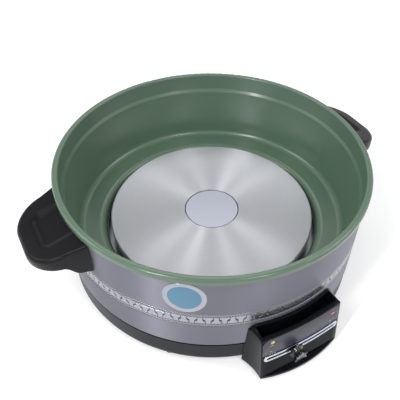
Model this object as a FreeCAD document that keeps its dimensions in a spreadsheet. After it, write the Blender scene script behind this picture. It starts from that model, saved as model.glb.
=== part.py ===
import FreeCAD, Part
import math
import os
import Sketcher

# Countertop hot pot base: a coated well in a steel drum, a heating plate, a sensor and a front slide control.
# The origin is on the floor under the centre of the well. The control faces -Y and the handles point along X.

doc = FreeCAD.newDocument("HotPotBase")
sheet = doc.addObject("Spreadsheet::Sheet", "Sizes")

# Every driving size in millimetres, degrees or counts, under the piece that it belongs to.
DRIVING = {
    "rim and well": {
        "rimRadius": 165, "rimHeight": 140, "rollWidth": 6.5, "rollDrop": 6.4, "wellWall": 1.2,
        "wellMouth": 158, "stepHeight": 121, "stepFall": 4, "stepIn": 2.4, "wellFootRadius": 149.5,
        "wellFloor": 56, "wellCorner": 7, "lipRadius": 119.5, "lipFoot": 45, "lipCurve": 8,
    },
    "steel drum": {
        "drumRadius": 162, "drumWall": 0.8, "drumFoot": 36, "drumFlange": 16,
        "bandFoot": 68.5, "bandHeight": 17.9, "bandDepth": 0.4,
    },
    "base ring": {
        "baseRadius": 161.5, "baseFoot": 4.5, "baseHeight": 28.5, "baseWall": 2.5, "baseBend": 9,
        "spigotRadius": 157.5, "baseOpening": 128, "bossRadius": 4.6, "bossPitch": 154,
    },
    "bottom cover": {
        "coverRadius": 134, "coverWall": 1, "coverScrewPitch": 131, "ventCount": 12, "ventRadius": 96,
        "ventLength": 30, "ventWidth": 4,
    },
    "feet": {"footRadius": 9, "footPitch": 143.5, "footHeight": 4.5},
    "heating plate": {
        "plateRadius": 115, "plateHeight": 60, "plateDepth": 9, "plateEdge": 1.6, "sensorHole": 31,
        "bossPlateRadius": 6, "postPitch": 84, "postRadius": 4, "postNut": 3,
    },
    "heating element": {"ringRadius": 68, "tubeRadius": 3.6, "coldEnd": 12, "ringGap": 34},
    "sensor": {
        "capRadius": 30.2, "capWall": 1, "capDepth": 7, "stemRadius": 5, "stemFit": 0.06, 
        "springRadius": 10, "springWire": 0.8, "springTurns": 4, "guideRadius": 37, "guideWall": 1.5,
        "guideDepth": 13, "guideBoss": 9, "clipWall": 1.2,
    },
    "heat shield": {"shieldRadius": 149.8, "shieldWall": 0.8, "shieldDish": 140, "shieldFloor": 31},
    "control housing": {
        "faceHalf": 46, "faceFoot": 8, "faceTop": 66, "faceFootReach": 181, "faceTopReach": 174,
        "faceBulge": 3, "flareFootHalf": 58, "flareTopHalf": 52.5, "chinReach": 189,
        "mouldWall": 2.5, "scoopFloor": 43, "scoopWall": 3, "shoulder": 15,
        "rimSlope": 3, "windowHalf": 47, "windowFoot": 10,
    },
    "panel": {
        "plateInset": 1.2, "panelWall": 0.6, "panelFoot": 40.3, "panelTop": 62, "panelCorner": 8,
        "trimEdge": 3, "trimWidth": 7.4, "slotHeight": 35, "slotPlay": 0.5, "slotWidth": 2.6,
        "lampRadius": 2.1, "lampSeat": 1.5, "lampX": -34.5, "lampZ": 57, "standbyX": 35.5, "standbyZ": 54.5,
    },
    "slide control": {
        "knobTravel": 74, "knobRest": -10.4, "neckLength": 6, "neckWidth": 1.8, "knobWidth": 15,
        "knobDepth": 10, "knobHeight": 9, "pointerHeight": 5, "blockHeight": 7.4,
        "blockDepth": 3.6, "pinRadius": 2, "pinReach": 166, "forkPlay": 1.2, "forkWall": 2.4,
        "armWall": 1.6, "armWidth": 12, "armHeight": 26, "pivotReach": 60, "spindleRadius": 4,
        "thermostatWidth": 30, "thermostatLength": 34, "thermostatHeight": 12, 
    },
    "handles": {
        "gripReach": 206.5, "gripRootHalf": 48, "gripHalf": 43, "gripRootReach": 170, "gripCorner": 31,
        "gripTop": 128, "gripFall": 17, "gripFoot": 92, "gripTipFoot": 103, "gripWall": 4,
        "gripScrewHalf": 26, "gripScrewZ": 112, 
    },
    "fasteners and inlet": {
        "flangeBite": 8, "gripBite": 10, "screwRadius": 1.9, "screwHead": 3.6, "screwCap": 2.2,
        "inletWidth": 27.5, "inletHeight": 20,
        "inletDepth": 22, "inletWall": 2, "inletFlange": 50, "inletZ": 19, 
        "seat": 0.3,
    },
}


class Size:
    """A number together with the sheet expression that gives it."""

    def __init__(self, value, text):
        self.value = float(value)
        self.text = text

    def join(self, other, sign, swap=False):
        other = as_size(other)
        left, right = (other, self) if swap else (self, other)
        a, b = left.value, right.value
        value = {"+": a + b, "-": a - b, "*": a * b, "/": a / b if b else 0}[sign]
        return Size(value, "(%s %s %s)" % (left.text, sign, right.text))

    def __add__(self, other):
        return self.join(other, "+")

    def __radd__(self, other):
        return self.join(other, "+", True)

    def __sub__(self, other):
        return self.join(other, "-")

    def __rsub__(self, other):
        return self.join(other, "-", True)

    def __mul__(self, other):
        return self.join(other, "*")

    def __rmul__(self, other):
        return self.join(other, "*", True)

    def __truediv__(self, other):
        return self.join(other, "/")

    def __neg__(self):
        return Size(-self.value, "(0 - %s)" % self.text)

    def __float__(self):
        return self.value


def as_size(number):
    """A plain number as a Size."""
    return number if isinstance(number, Size) else Size(number, "%.6g" % number)


def root(size):
    """The square root of a Size."""
    return Size(math.sqrt(size.value), "sqrt(%s)" % size.text)


class Sizes:
    """The sheet's cells by name."""


s = Sizes()
row = 1
for piece, cells in DRIVING.items():
    sheet.set("A%d" % row, piece)
    row += 1
    for alias, number in cells.items():
        sheet.set("A%d" % row, alias)
        sheet.set("B%d" % row, str(number))
        sheet.setAlias("B%d" % row, alias)
        setattr(s, alias, Size(number, "Sizes." + alias))
        row += 1
doc.recompute()

nodes = []


def keep(obj, label):
    """Give a finished sub-part the label that names its file."""
    obj.Label = label
    nodes.append(obj)
    return obj


def start_body(name):
    return doc.addObject("PartDesign::Body", name)


def plane_of(body, role):
    for feature in body.Origin.OriginFeatures:
        if feature.Role == role:
            return feature


def start_sketch(body, name, role="XY_Plane", offset=None):
    """A sketch on one of the body's own origin planes, moved along the plane's normal."""
    sketch = body.newObject("Sketcher::SketchObject", name)
    sketch.AttachmentSupport = [(plane_of(body, role), "")]
    sketch.MapMode = "FlatFace"
    if offset is not None:
        offset = as_size(offset)
        sketch.AttachmentOffset = FreeCAD.Placement(FreeCAD.Vector(0, 0, offset.value), FreeCAD.Rotation())
        sketch.setExpression("AttachmentOffset.Base.z", offset.text)
    return sketch


def fix(sketch, kind, where, size):
    """Add one dimension and bind it to the sheet."""
    size = as_size(size)
    index = sketch.addConstraint(Sketcher.Constraint(kind, *where, size.value))
    if "Sizes." in size.text:
        sketch.setExpression("Constraints[%d]" % index, size.text)


def outline(sketch, points):
    """A closed outline. A point is (x, y), or (x, y, radius, side) where an arc leads to it.

    The side is 1 for an arc whose centre lies left of the way and -1 for one whose centre lies right.
    A radius of None is a half circle on an upright chord."""
    count = len(points)
    places = [FreeCAD.Vector(float(p[0]), float(p[1]), 0) for p in points]
    first = sketch.GeometryCount
    starts = []
    for i in range(count):
        a, b, goal = places[i - 1], places[i], points[i]
        if len(goal) == 2:
            sketch.addGeometry(Part.LineSegment(a, b), False)
            starts.append((first + i, 1, 2))
            continue
        half = (b - a) * 0.5
        radius, side = float(goal[2] or half.Length), goal[3]
        left = FreeCAD.Vector(-half.y, half.x, 0).normalize()
        middle = a + half
        rise = math.sqrt(max(radius * radius - half.Length * half.Length, 0))
        centre = middle + left * (rise * side)
        top = centre - left * (radius * side)
        sketch.addGeometry(Part.Arc(a, top, b), False)
        starts.append((first + i, 1, 2) if side == 1 else (first + i, 2, 1))
    for i in range(count):
        now, after = starts[i], starts[(i + 1) % count]
        sketch.addConstraint(Sketcher.Constraint("Coincident", now[0], now[2], after[0], after[1]))
    for i, p in enumerate(points):
        geo, end = starts[i][0], starts[i][2]
        fix(sketch, "DistanceX", (-1, 1, geo, end), p[0])
        fix(sketch, "DistanceY", (-1, 1, geo, end), p[1])
        if len(p) > 2 and p[2] is None:
            fix(sketch, "DistanceX", (-1, 1, geo, 3), p[0])
        elif len(p) > 2:
            fix(sketch, "Radius", (geo,), p[2])


def rectangle(sketch, left, low, right, high):
    outline(sketch, [(left, low), (right, low), (right, high), (left, high)])


def circle(sketch, x, y, radius):
    centre = FreeCAD.Vector(float(x), float(y), 0)
    geo = sketch.addGeometry(Part.Circle(centre, FreeCAD.Vector(0, 0, 1), float(radius)), False)
    fix(sketch, "Radius", (geo,), radius)
    fix(sketch, "DistanceX", (-1, 1, geo, 3), x)
    fix(sketch, "DistanceY", (-1, 1, geo, 3), y)


def stadium(sketch, x, y, length, width):
    """A slot shape lying along the sketch's first axis."""
    half, r = (length - width) / 2, width / 2
    outline(sketch, [
        (x + half, y - r),
        (x + half, y + r, None, 1),
        (x - half, y + r),
        (x - half, y - r, None, 1),
    ])


def feature(body, kind, name, sketch, **settings):
    """A PartDesign feature on a sketch. Sizes are bound, other settings are set."""
    made = body.newObject("PartDesign::" + kind, name)
    made.Profile = sketch
    sketch.Visibility = False
    for prop, value in settings.items():
        if isinstance(value, Size):
            setattr(made, prop, value.value)
            made.setExpression(prop, value.text)
        else:
            setattr(made, prop, value)
    return made


def turn(body, name, points, kind="Revolution"):
    """A closed outline of (radius, height) points turned round the upright axis."""
    sketch = start_sketch(body, name + "Profile", "XZ_Plane")
    outline(sketch, points)
    return feature(body, kind, name, sketch, ReferenceAxis=(sketch, ["V_Axis"]), Angle=360.0)


def round_edges(body, name, radius, wanted):
    """Round the edges of the last feature for which wanted(edge) holds."""
    doc.recompute()
    last = body.Tip
    edges = ["Edge%d" % (i + 1) for i, edge in enumerate(last.Shape.Edges) if wanted(edge)]
    if not edges:
        raise RuntimeError("no edges to round in " + name)
    made = body.newObject("PartDesign::Fillet", name)
    made.Base = (last, edges)
    radius = as_size(radius)
    made.Radius = radius.value
    if "Sizes." in radius.text:
        made.setExpression("Radius", radius.text)
    doc.recompute()
    return made


def ring_at(*places):
    """True for a full circle round the upright axis at one of these (radius, height) places."""
    def wanted(edge):
        curve = edge.Curve
        if not hasattr(curve, "Radius") or not hasattr(curve, "Center"):
            return False
        if abs(curve.Center.x) > 0.01 or abs(curve.Center.y) > 0.01:
            return False
        for radius, height in places:
            if abs(curve.Radius - float(radius)) < 0.02 and abs(curve.Center.z - float(height)) < 0.02:
                return True
        return False
    return wanted


def polar(body, name, source, count):
    """Repeat a feature round the upright axis."""
    made = body.newObject("PartDesign::PolarPattern", name)
    made.Originals = [source]
    made.Axis = (plane_of(body, "Z_Axis"), [""])
    made.Angle = 360.0
    made.Occurrences = int(float(count))
    if isinstance(count, Size):
        made.setExpression("Occurrences", count.text)
    body.Tip = made
    return made


def drill(body, name, places, radius, low, depth, count=0):
    """Upright holes from one height upwards, repeated round the axis where a count is given."""
    sketch = start_sketch(body, name + "Circles", "XY_Plane", low)
    for x, y in places:
        circle(sketch, x, y, radius)
    hole = feature(body, "Pocket", name, sketch, Length=depth, Reversed=True)
    if count:
        polar(body, name + "Ring", hole, count)


DIAGONAL = math.sqrt(0.5)
COVER_ANGLE = math.radians(22)
COVER_COS = math.cos(COVER_ANGLE)
COVER_SIN = math.sin(COVER_ANGLE)


def group(label, shapes):
    """Several like solids that share one node."""
    made = doc.addObject("Part::Feature", label + "_group")
    made.Shape = Part.makeCompound(shapes)
    made.Placement = FreeCAD.Placement()
    return keep(made, label)


def rod(radius, height, x, y, z, along=(0, 0, 1)):
    foot = FreeCAD.Vector(float(x), float(y), float(z))
    return Part.makeCylinder(float(radius), float(height), foot, FreeCAD.Vector(*along))


def screw(x, y, z, along, length, head=None):
    """A pan-head screw whose head sits at the point and whose shank runs along the given way."""
    way = FreeCAD.Vector(*along)
    place = FreeCAD.Vector(float(x), float(y), float(z))
    cap = Part.makeCylinder(float(s.screwHead), float(s.screwCap), place, way * -1)
    shank = Part.makeCylinder(float(s.screwRadius), float(length), place, way)
    return cap.fuse(shank)


up = FreeCAD.Vector(0, 0, 1)


def spot(radius, degrees):
    """The (x, y) of a point on a circle round the axis."""
    angle = math.radians(degrees)
    return float(radius) * math.cos(angle), float(radius) * math.sin(angle)


# Inner liner: one drawn sheet from the rolled rim down to the lip round the heating plate.
liner = start_body("InnerLiner")
wall = s.wellWall
rim_in = s.rimRadius - s.rollWidth
step_low = s.stepHeight - s.stepFall
under_rim = s.rimHeight - wall
turn(liner, "LinerSheet", [
    (s.rimRadius, s.rimHeight - s.rollDrop),
    (s.rimRadius, s.rimHeight),
    (rim_in, s.rimHeight),
    (s.wellMouth, s.stepHeight),
    (s.wellMouth - s.stepIn, step_low),
    (s.wellFootRadius, s.wellFloor),
    (s.lipRadius, s.wellFloor),
    (s.lipRadius, s.lipFoot),
    (s.lipRadius + wall, s.lipFoot),
    (s.lipRadius + wall, s.wellFloor - wall),
    (s.wellFootRadius + wall, s.wellFloor - wall),
    (s.wellMouth - s.stepIn + wall, step_low - wall / 2),
    (s.wellMouth + wall, s.stepHeight - wall / 2),
    (rim_in + wall, under_rim),
    (s.rimRadius - wall, under_rim),
    (s.rimRadius - wall, s.rimHeight - s.rollDrop),
])
round_edges(liner, "RimCurve", s.rollWidth * 0.4, ring_at((s.rimRadius, s.rimHeight)))
round_edges(liner, "MouthCurve", s.rollWidth * 0.3, ring_at((rim_in, s.rimHeight)))
round_edges(liner, "WellCurve", s.wellCorner, ring_at((s.wellFootRadius, s.wellFloor)))
round_edges(liner, "WellCurveBack", s.wellCorner + wall,
            ring_at((s.wellFootRadius + wall, s.wellFloor - wall)))
round_edges(liner, "LipCurve", s.lipCurve, ring_at((s.lipRadius, s.wellFloor)))
round_edges(liner, "LipCurveBack", s.lipCurve - wall, ring_at((s.lipRadius + wall, s.wellFloor - wall)))
round_edges(liner, "StepCurve", s.stepFall / 2,
            ring_at((s.wellMouth, s.stepHeight), (s.wellMouth - s.stepIn, step_low)))
keep(liner, "inner_liner")

# Outer drum: steel sheet with a sunk band for the key pattern and a foot flange turned inwards.
drum = start_body("OuterDrum")
band_top = s.bandFoot + s.bandHeight
drum_in = s.drumRadius - s.drumWall
band_out = s.drumRadius - s.bandDepth
turn(drum, "DrumSheet", [
    (s.drumRadius - s.drumFlange, s.drumFoot),
    (s.drumRadius, s.drumFoot),
    (s.drumRadius, s.bandFoot),
    (band_out, s.bandFoot),
    (band_out, band_top),
    (s.drumRadius, band_top),
    (s.drumRadius, under_rim),
    (drum_in, under_rim),
    (drum_in, band_top - s.bandDepth),
    (drum_in - s.bandDepth, band_top - s.bandDepth),
    (drum_in - s.bandDepth, s.bandFoot + s.bandDepth),
    (drum_in, s.bandFoot + s.bandDepth),
    (drum_in, s.drumFoot + s.drumWall),
    (s.drumRadius - s.drumFlange, s.drumFoot + s.drumWall),
])
for side, name in ((1, "Right"), (-1, "Left")):
    sketch = start_sketch(drum, name + "ScrewHoles", "YZ_Plane")
    for half in (s.gripScrewHalf, -s.gripScrewHalf):
        circle(sketch, half, s.gripScrewZ, s.screwRadius + s.seat)
    feature(drum, "Pocket", name + "ScrewHole", sketch, Length=s.rimRadius, Reversed=(side == 1))
boss_place = (s.bossPitch * DIAGONAL, s.bossPitch * DIAGONAL)
drill(drum, "FlangeScrewHole", [boss_place], s.screwRadius + s.seat, s.drumFoot, s.drumWall, 4)
keep(drum, "outer_drum")

# Base ring: moulded black ring with a rounded foot, a spigot under the drum and an inward floor.
base = start_body("BaseRing")
base_top = s.baseFoot + s.baseHeight
base_in = s.baseRadius - s.baseWall
floor_top = s.baseFoot + s.baseWall
turn(base, "RingSection", [
    (s.baseOpening, s.baseFoot),
    (s.baseRadius, s.baseFoot),
    (s.baseRadius, base_top),
    (s.spigotRadius, base_top),
    (s.spigotRadius, s.drumFoot),
    (s.spigotRadius - s.baseWall, s.drumFoot),
    (s.spigotRadius - s.baseWall, base_top - s.baseWall),
    (base_in, base_top - s.baseWall),
    (base_in, floor_top),
    (s.baseOpening, floor_top),
])
round_edges(base, "FootCurve", s.baseBend, ring_at((s.baseRadius, s.baseFoot)))
sketch = start_sketch(base, "Boss", "XY_Plane", s.baseFoot)
circle(sketch, s.bossPitch * DIAGONAL, s.bossPitch * DIAGONAL, s.bossRadius)
boss = feature(base, "Pad", "ScrewBoss", sketch, Length=s.drumFoot - s.baseFoot)
polar(base, "ScrewBosses", boss, 4)
drill(base, "FlangeScrewBore", [boss_place], s.screwRadius, s.drumFoot - s.flangeBite, s.flangeBite, 4)
cover_place = (s.coverScrewPitch * COVER_COS, s.coverScrewPitch * COVER_SIN)
drill(base, "CoverScrewBore", [cover_place], s.screwRadius, s.baseFoot, s.baseWall, 4)
sketch = start_sketch(base, "ControlWindow", "XZ_Plane")
rectangle(sketch, -s.windowHalf, s.windowFoot, s.windowHalf, base_top - s.baseWall)
feature(base, "Pocket", "ControlOpening", sketch, Length=s.rimRadius, Reversed=True)
sketch = start_sketch(base, "InletWindow", "XZ_Plane")
rectangle(sketch, -s.inletWidth / 2 - s.seat, s.inletZ - s.inletHeight / 2 - s.seat,
          s.inletWidth / 2 + s.seat, s.inletZ + s.inletHeight / 2 + s.seat)
feature(base, "Pocket", "InletOpening", sketch, Length=s.rimRadius)
keep(base, "base_ring")

# Bottom cover: a steel disc under the opening of the base ring, with vent slots.
cover = start_body("BottomCover")
turn(cover, "CoverDisc", [
    (0, s.baseFoot - s.coverWall),
    (s.coverRadius, s.baseFoot - s.coverWall),
    (s.coverRadius, s.baseFoot),
    (0, s.baseFoot),
])
sketch = start_sketch(cover, "Vent", "XY_Plane", s.baseFoot - s.coverWall)
stadium(sketch, s.ventRadius, 0, s.ventLength, s.ventWidth)
vent = feature(cover, "Pocket", "VentSlot", sketch, Length=s.coverWall, Reversed=True)
polar(cover, "VentSlots", vent, s.ventCount)
drill(cover, "CoverScrewHole", [cover_place], s.screwRadius, s.baseFoot - s.coverWall, s.coverWall, 4)
keep(cover, "bottom_cover")

# Heating plate: cast aluminium disc with a hole for the sensor and three bosses for its posts.
plate = start_body("HeatingPlate")
plate_low = s.plateHeight - s.plateDepth
turn(plate, "PlateDisc", [
    (s.sensorHole, plate_low),
    (s.plateRadius, plate_low),
    (s.plateRadius, s.plateHeight),
    (s.sensorHole, s.plateHeight),
])
round_edges(plate, "PlateRim", s.plateEdge, ring_at((s.plateRadius, s.plateHeight)))
boss_low = plate_low - s.plateDepth / 2
sketch = start_sketch(plate, "PlateBoss", "XY_Plane", boss_low)
circle(sketch, 0, s.postPitch, s.bossPlateRadius)
boss = feature(plate, "Pad", "PostBoss", sketch, Length=plate_low - boss_low)
polar(plate, "PostBosses", boss, 3)
keep(plate, "heating_plate")

# Plate posts: three rods from the plate's bosses down through the heat shield, each with a nut under it.
post_places = [spot(s.postPitch, 90 + 120 * i) for i in range(3)]
shield_low = s.shieldFloor - s.shieldWall
posts = [rod(s.postRadius, boss_low - s.shieldFloor, x, y, s.shieldFloor) for x, y in post_places]
group("plate_posts", posts)
nuts = []
for x, y in post_places:
    stud = rod(s.screwRadius, s.shieldWall + s.postNut, x, y, shield_low - s.postNut)
    nut = rod(s.postRadius, s.postNut, x, y, shield_low - s.postNut)
    nuts.append(nut.fuse(stud))
group("post_nuts", nuts)

# Heat shield: a steel pan whose rim is clamped between the drum's flange and the screws.
shield = start_body("HeatShield")
shield_rim = s.drumFoot + s.drumWall
turn(shield, "ShieldPan", [
    (0, shield_low),
    (s.shieldDish, shield_low),
    (s.shieldDish + s.shieldWall, shield_rim),
    (s.shieldRadius, shield_rim),
    (s.shieldRadius, shield_rim + s.shieldWall),
    (s.shieldDish, shield_rim + s.shieldWall),
    (s.shieldDish - s.shieldWall, s.shieldFloor),
    (0, s.shieldFloor),
])
sketch = start_sketch(shield, "PostHole", "XY_Plane", shield_low)
circle(sketch, 0, s.postPitch, s.screwRadius)
hole = feature(shield, "Pocket", "PostStudHole", sketch, Length=s.shieldWall, Reversed=True)
polar(shield, "PostStudHoles", hole, 3)
keep(shield, "heat_shield")

# Heating element: an open ring of sheathed tube under the plate with two cold ends turned down.
element = start_body("HeatingElement")
ring_z = plate_low - s.tubeRadius
sketch = start_sketch(element, "TubeSection", "XZ_Plane")
circle(sketch, s.ringRadius, ring_z, s.tubeRadius)
feature(element, "Revolution", "TubeRing", sketch, ReferenceAxis=(sketch, ["V_Axis"]), Angle=360 - s.ringGap)
for name, degrees in (("ColdEndA", 0), ("ColdEndB", 360 - float(s.ringGap))):
    x, y = spot(s.ringRadius, degrees)
    sketch = start_sketch(element, name + "Section", "XY_Plane", ring_z)
    circle(sketch, x, y, s.tubeRadius)
    feature(element, "Pad", name, sketch, Length=s.coldEnd, Reversed=True)
element.Placement = FreeCAD.Placement(FreeCAD.Vector(), FreeCAD.Rotation(up, 90 + float(s.ringGap) / 2))
keep(element, "heating_element")

# Sensor: a sprung cap flush with the plate, its stem held by a clip under the guide.
guide_top = plate_low
guide_low = guide_top - s.guideDepth
guide = start_body("SensorGuide")
guide_in = s.stemRadius + s.stemFit
turn(guide, "GuideCup", [
    (guide_in, guide_low),
    (s.guideBoss, guide_low),
    (s.guideBoss, guide_low + s.guideWall),
    (s.sensorHole + s.guideWall, guide_low + s.guideWall),
    (s.sensorHole + s.guideWall, guide_top - s.guideWall),
    (s.guideRadius, guide_top - s.guideWall),
    (s.guideRadius, guide_top),
    (s.sensorHole, guide_top),
    (s.sensorHole, guide_low + s.guideWall * 2),
    (s.guideBoss - s.guideWall, guide_low + s.guideWall * 2),
    (s.guideBoss - s.guideWall, guide_low + s.guideWall * 3),
    (guide_in, guide_low + s.guideWall * 3),
])
keep(guide, "sensor_guide")
cap = start_body("SensorCap")
clip_top = guide_low - s.seat
stem_low = clip_top - s.clipWall
turn(cap, "CapCup", [
    (0, stem_low),
    (s.stemRadius, stem_low),
    (s.stemRadius, s.plateHeight - s.capWall),
    (s.capRadius - s.capWall, s.plateHeight - s.capWall),
    (s.capRadius - s.capWall, s.plateHeight - s.capDepth),
    (s.capRadius, s.plateHeight - s.capDepth),
    (s.capRadius, s.plateHeight),
    (0, s.plateHeight),
])
round_edges(cap, "CapRim", s.capWall * 0.6, ring_at((s.capRadius, s.plateHeight)))
keep(cap, "sensor_cap")
clip = start_body("StemClip")
turn(clip, "ClipRing", [
    (s.stemRadius, stem_low),
    (s.guideBoss, stem_low),
    (s.guideBoss, clip_top),
    (s.stemRadius, clip_top),
])
keep(clip, "stem_clip")


def coil(radius, wire, turns, low, high):
    """A coil spring as one tube along quarter-turn pairs of arcs with matching ends."""
    steps = int(turns * 4)
    climb = (high - low) / (2 * math.pi * turns)
    edges = []

    def place(angle):
        return FreeCAD.Vector(radius * math.cos(angle), radius * math.sin(angle), low + climb * angle)

    def heading(angle):
        return FreeCAD.Vector(-radius * math.sin(angle), radius * math.cos(angle), climb).normalize()

    def arc(start, way, end):
        chord = end - start
        across = way - chord * (way.dot(chord) / chord.dot(chord))
        half = math.acos(min(1, way.dot(chord) / chord.Length))
        middle = start + chord * 0.5 + across.normalize() * (chord.Length / 2 * math.tan(half / 2))
        return Part.Arc(start, middle, end).toShape()

    for i in range(steps):
        a, b = math.pi / 2 * i, math.pi / 2 * (i + 1)
        start, end, t1, t2 = place(a), place(b), heading(a), heading(b)
        span, both = end - start, t1 + t2
        turn_rate = 2 * (1 - t1.dot(t2))
        reach = (-span.dot(both) + math.sqrt(span.dot(both) ** 2 + turn_rate * span.dot(span))) / turn_rate
        joint = (start + end + (t1 - t2) * reach) * 0.5
        back = arc(end, t2 * -1, joint)
        edges.append(arc(start, t1, joint))
        middle = back.valueAt((back.FirstParameter + back.LastParameter) / 2)
        edges.append(Part.Arc(joint, middle, end).toShape())
    path = Part.Wire(edges)
    section = Part.Wire([Part.Circle(place(0), heading(0), wire).toShape()])
    gap = (high - low) / turns - 2 * wire
    print("coil gap %.2f mm" % gap)
    return path.makePipeShell([section], True, False)


spring = doc.addObject("Part::Feature", "SensorSpring")
spring_low = float(guide_low + s.guideWall * 2 + s.springWire + s.seat)
spring_high = float(s.plateHeight - s.capWall - s.springWire - s.seat)
spring.Shape = coil(float(s.springRadius), float(s.springWire), float(s.springTurns), spring_low, spring_high)
spring.Placement = FreeCAD.Placement()
keep(spring, "sensor_spring")

# Thermal limiter: a disc thermostat screwed under the sensor guide's flange.
limit = Part.makeBox(8, 14, 6, FreeCAD.Vector(float(s.guideRadius) + 1, -7, float(plate_low) - 6))
group("thermal_fuse", [limit])

# Control housing: a moulding lofted from a flared foot to a level top, with a scoop behind its face.
housing = start_body("ControlHousing")


def housing_plan(sketch, wall_half, reach, bulge, grow=0):
    """The housing's outline at one level: flared hollow sides and a bowed face."""
    half = s.faceHalf + grow
    face = reach + grow
    radius = half * half / (2 * as_size(bulge)) + as_size(bulge) / 2
    back = -(s.drumRadius - s.flareFootHalf / 3)
    outline(sketch, [
        (-wall_half, back),
        (-half, -face, s.drumRadius * 0.35, -1),
        (half, -face, radius, 1),
        (wall_half, back, s.drumRadius * 0.35, -1),
    ])


def housing_level(name, z, wall_half, reach):
    sketch = start_sketch(housing, name, "XY_Plane", z)
    housing_plan(sketch, wall_half, reach, s.faceBulge)
    return sketch


foot_plan = housing_level("FootPlan", s.faceFoot, s.flareFootHalf, s.faceFootReach)
top_plan = housing_level("TopPlan", s.faceTop, s.flareTopHalf, s.faceTopReach)
loft = housing.newObject("PartDesign::AdditiveLoft", "HousingLoft")
loft.Profile = foot_plan
loft.Sections = [top_plan]
loft.Ruled = True
sketch = start_sketch(housing, "ChinPlan", "XY_Plane", s.baseFoot)
housing_plan(sketch, s.flareFootHalf, s.faceFootReach, s.chinReach - s.faceFootReach)
feature(housing, "Pad", "Chin", sketch, Length=s.faceFoot - s.baseFoot)
sketch = start_sketch(housing, "DrumSpace", "XZ_Plane")
rectangle(sketch, 0, 0, s.drumRadius, s.rimHeight)
feature(housing, "Groove", "DrumCut", sketch, ReferenceAxis=(sketch, ["V_Axis"]), Angle=360.0)
sketch = start_sketch(housing, "TopSlope", "YZ_Plane", -s.drumRadius)
outline(sketch, [
    (-s.drumRadius + s.scoopWall, s.faceTop),
    (-s.chinReach, s.faceTop - s.rimSlope * 1.6),
    (-s.chinReach, s.rimHeight),
    (-s.drumRadius + s.scoopWall, s.rimHeight),
])
feature(housing, "Pocket", "TopCut", sketch, Length=s.drumRadius * 2, Reversed=True)
shoulder_z = s.faceTop - s.shoulder
for side, name in ((1, "Right"), (-1, "Left")):
    sketch = start_sketch(housing, name + "Shoulder", "XZ_Plane")
    near, far = (s.flareTopHalf - s.shoulder) * side, s.flareFootHalf * (2 * side)
    outline(sketch, [
        (far, shoulder_z),
        ((s.flareTopHalf + 0.8) * side, shoulder_z),
        (near, s.faceTop, s.shoulder, side),
        (near, s.rimHeight),
        (far, s.rimHeight),
    ])
    feature(housing, "Pocket", name + "ShoulderCut", sketch, Length=s.chinReach + s.rimRadius, Reversed=True)


def inner_plan(sketch, side_wall, back_radius, reach):
    """A pocket's outline inside the housing, with its back on a circle round the drum."""
    half = s.faceHalf - side_wall
    back = root(back_radius * back_radius - half * half)
    bow = s.faceBulge
    radius = half * half / (2 * bow) + bow / 2
    outline(sketch, [
        (-half, -back, back_radius, -1),
        (-half, -reach),
        (half, -reach, radius, 1),
        (half, -back),
    ])


sketch = start_sketch(housing, "Scoop", "XY_Plane", s.scoopFloor)
inner_plan(sketch, s.scoopWall, s.drumRadius + s.scoopWall, s.faceTopReach - s.scoopWall)
feature(housing, "Pocket", "ScoopPocket", sketch, Length=s.rimHeight, Reversed=True)
cavity_top = s.scoopFloor - s.mouldWall
cavity_low = s.baseFoot + s.mouldWall
cavity_reach = s.faceTopReach - s.mouldWall + s.faceBulge
cavity_side = s.mouldWall * 0.6
sketch = start_sketch(housing, "Cavity", "XY_Plane", cavity_low)
inner_plan(sketch, cavity_side, s.drumRadius - s.scoopWall, cavity_reach)
feature(housing, "Pocket", "CavityPocket", sketch, Length=cavity_top - cavity_low, Reversed=True)
slot_length = s.knobTravel + s.neckLength + s.slotPlay * 2
sketch = start_sketch(housing, "LeverSlot", "XZ_Plane")
stadium(sketch, 0, s.slotHeight, slot_length, s.slotWidth)
feature(housing, "Pocket", "LeverSlotCut", sketch, Length=s.chinReach + s.rimRadius, Reversed=True)
doc.recompute()
keep(housing, "control_housing")


# Panel pieces on the housing's face: each is a flat outline cut from a thin sheet that follows the face.


def face_reach(z):
    """How far the face's edges stand out at one height."""
    slope = (s.faceFootReach - s.faceTopReach) / (s.faceTop - s.faceFoot)
    return s.faceTopReach + slope * (s.faceTop - z)


def curved_sheet(name, low, high, near, far):
    """A sheet that follows the face between two heights, from near to far in front of it."""
    stock = start_body(name)
    radius = s.faceHalf * s.faceHalf / (2 * s.faceBulge) + s.faceBulge / 2
    levels = []
    for tag, z in (("Low", low), ("High", high)):
        sketch = start_sketch(stock, name + tag, "XY_Plane", z)
        inner, outer = face_reach(z) + near, face_reach(z) + far
        outline(sketch, [
            (-s.faceHalf, -inner, radius, -1),
            (-s.faceHalf, -outer),
            (s.faceHalf, -outer, radius, 1),
            (s.faceHalf, -inner),
        ])
        levels.append(sketch)
    sheet_loft = stock.newObject("PartDesign::AdditiveLoft", name + "Loft")
    sheet_loft.Profile = levels[0]
    sheet_loft.Sections = [levels[1]]
    sheet_loft.Ruled = True
    return stock


def face_block(name, draw):
    """A block with a front outline, deep enough to pass through the face."""
    block = start_body(name)
    sketch = start_sketch(block, name + "Outline", "XZ_Plane", s.drumRadius)
    draw(sketch)
    feature(block, "Pad", name + "Pad", sketch, Length=s.chinReach - s.drumRadius)
    return block


def common(label, base_obj, tool):
    made = doc.addObject("Part::Common", label + "_common")
    made.Base = base_obj
    made.Tool = tool
    return keep(made, label)


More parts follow.
